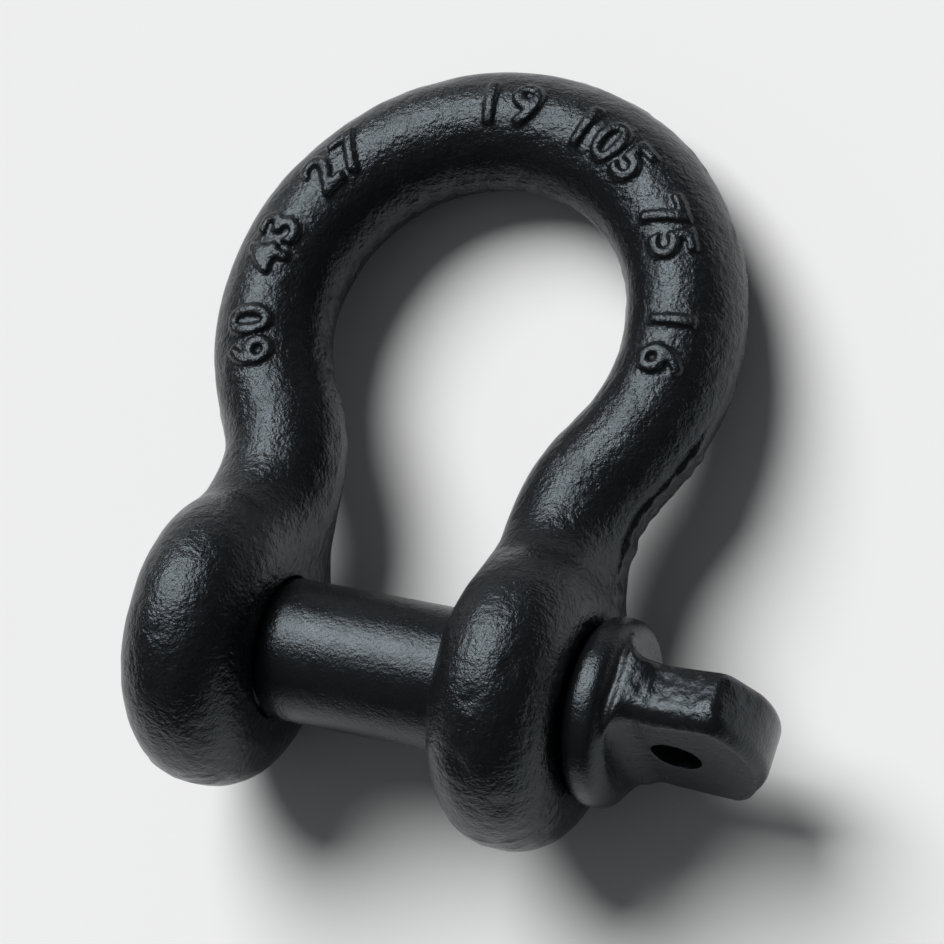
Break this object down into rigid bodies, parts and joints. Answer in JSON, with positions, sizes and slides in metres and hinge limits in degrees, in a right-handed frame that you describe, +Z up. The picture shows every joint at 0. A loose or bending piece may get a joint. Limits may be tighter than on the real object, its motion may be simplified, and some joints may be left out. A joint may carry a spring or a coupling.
{
  "type": "screw pin bow shackle",
  "caption": "Forged bow shackle: a round bar bent into a wide bow with two forged ears, closed by a screw pin with a collar and a flattened eye.",
  "frame": {"origin": "on the pin's axis, midway between the ears", "axes": "+X along the pin towards its head, +Y from the pin towards the bow's crown, +Z up from the floor the shackle lies on; the bow's plane drops by about nine degrees towards +Y, because it rests on its ears and its crown"},
  "size_m": [0.0927, 0.1054, 0.0404],
  "materials": {
    "black_paint": "semi-gloss black coating over a rough forged surface"
  },
  "bodies": {
    "bow": {"bow": "black_paint"},
    "pin": {"screw_pin": "black_paint"}
  },
  "joints": [
    {"name": "pin_withdraw", "type": "slide", "parent": "bow", "child": "pin", "axis": [1, 0, 0], "range_m": [0, 0.09144]}
  ]
}
